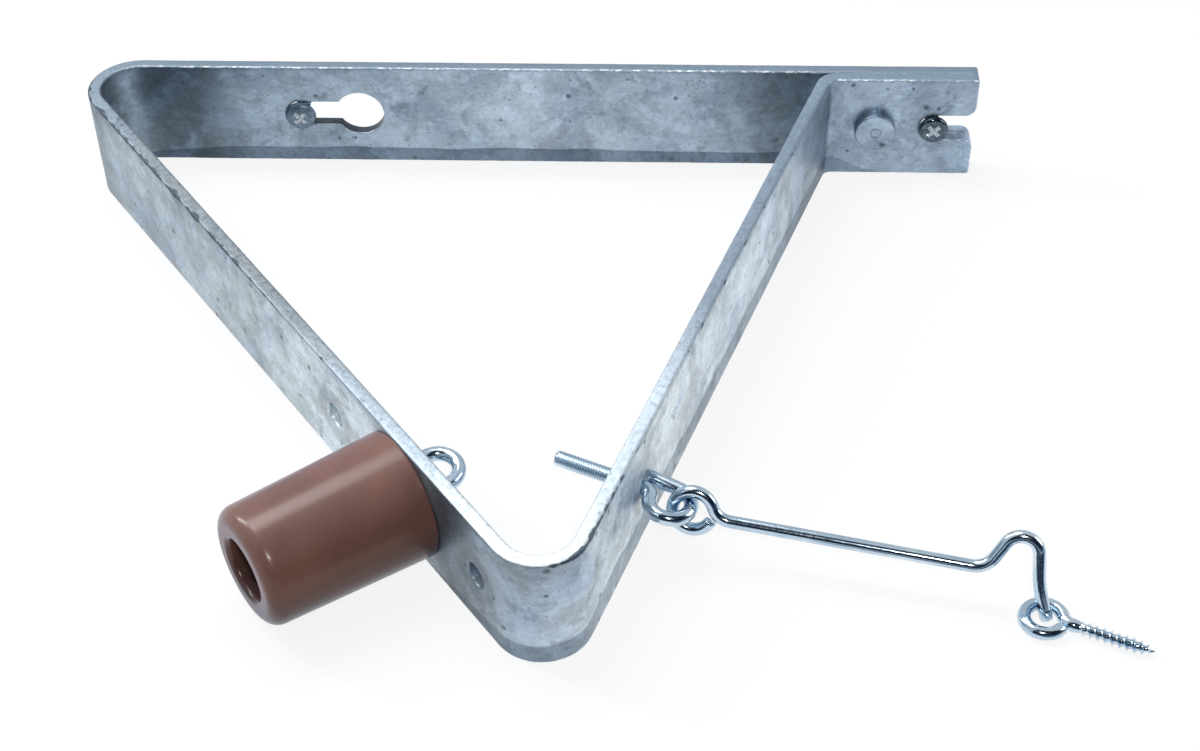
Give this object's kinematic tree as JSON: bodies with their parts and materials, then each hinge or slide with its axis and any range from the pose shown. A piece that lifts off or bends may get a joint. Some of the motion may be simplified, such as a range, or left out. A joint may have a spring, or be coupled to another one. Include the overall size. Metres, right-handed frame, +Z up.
{
  "type": "door stop bracket",
  "caption": "Triangular flat-bar bracket that stands out from a wall, with a rubber buffer to stop a door and a cabin hook with screw eye to hold it open.",
  "frame": {"origin": "on the wall face of the back strip, halfway between the seats of the two wall screws and at mid-height of the bar", "axes": "+X along the wall towards the notched end, +Y into the wall, +Z up; the bar stands on its lower edge at z = -0.020"},
  "size_m": [0.3388, 0.259, 0.04],
  "materials": {
    "galvanised_bar": "hot-dip galvanised, mottled dull grey with a bluish cast",
    "galvanised_rivet": "hot-dip galvanised",
    "brown_rubber": "smooth moulded rubber, satin",
    "bush_steel": "turned steel",
    "zinc_plated_wire": "bright zinc plated, mirror-like",
    "pale_screw": "zinc plated",
    "dark_screw": "dark oxide, glossy"
  },
  "bodies": {
    "bracket": {"bracket_strip": "galvanised_bar", "lap_rivet": "galvanised_rivet", "rubber_buffer": "brown_rubber", "buffer_bush": "bush_steel", "buffer_eye_bolt": "zinc_plated_wire", "hook_eye_bolt": "zinc_plated_wire", "screw_eye": "zinc_plated_wire", "left_wall_screw": "pale_screw", "right_wall_screw": "dark_screw"},
    "hook": {"storm_hook": "zinc_plated_wire"}
  },
  "joints": [
    {"name": "hook_lift", "type": "hinge", "parent": "bracket", "child": "hook", "pos_m": [0.02768, -0.19389, -0.00386], "axis": [-0.1865, -0.921, 0.342], "range_deg": [0, 117]}
  ]
}
